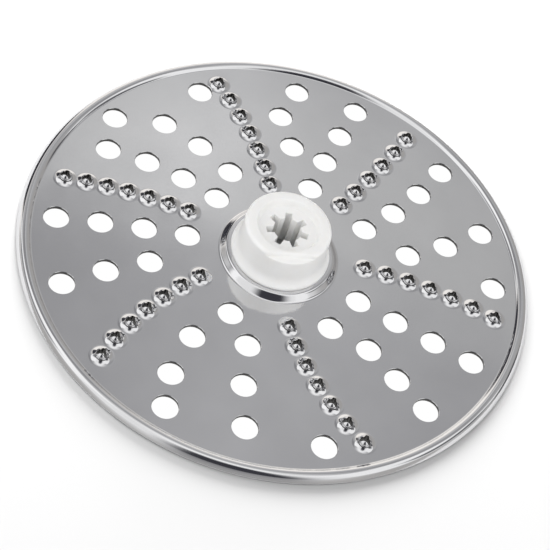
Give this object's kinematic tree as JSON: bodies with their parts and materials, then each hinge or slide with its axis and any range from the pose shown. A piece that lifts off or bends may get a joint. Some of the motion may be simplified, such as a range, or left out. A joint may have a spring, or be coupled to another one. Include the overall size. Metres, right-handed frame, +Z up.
{
  "type": "food processor disc",
  "caption": "Round pressed stainless food processor disc with rows of raised pierced grating teeth, drain holes, a rolled rim and a white plastic drive hub with a splined bore.",
  "frame": {"origin": "on the hub's axis, level with the lower edge of the rim that the disc rests on", "axes": "+Z up along the hub's axis, from the plain underside towards the grating side; the picture looks at the disc from -Y"},
  "size_m": [0.145, 0.145, 0.0147],
  "materials": {
    "polished_steel": "polished",
    "white_plastic": "satin"
  },
  "bodies": {
    "root": {"grating_disc": "polished_steel", "drive_hub": "white_plastic"}
  },
  "joints": []
}
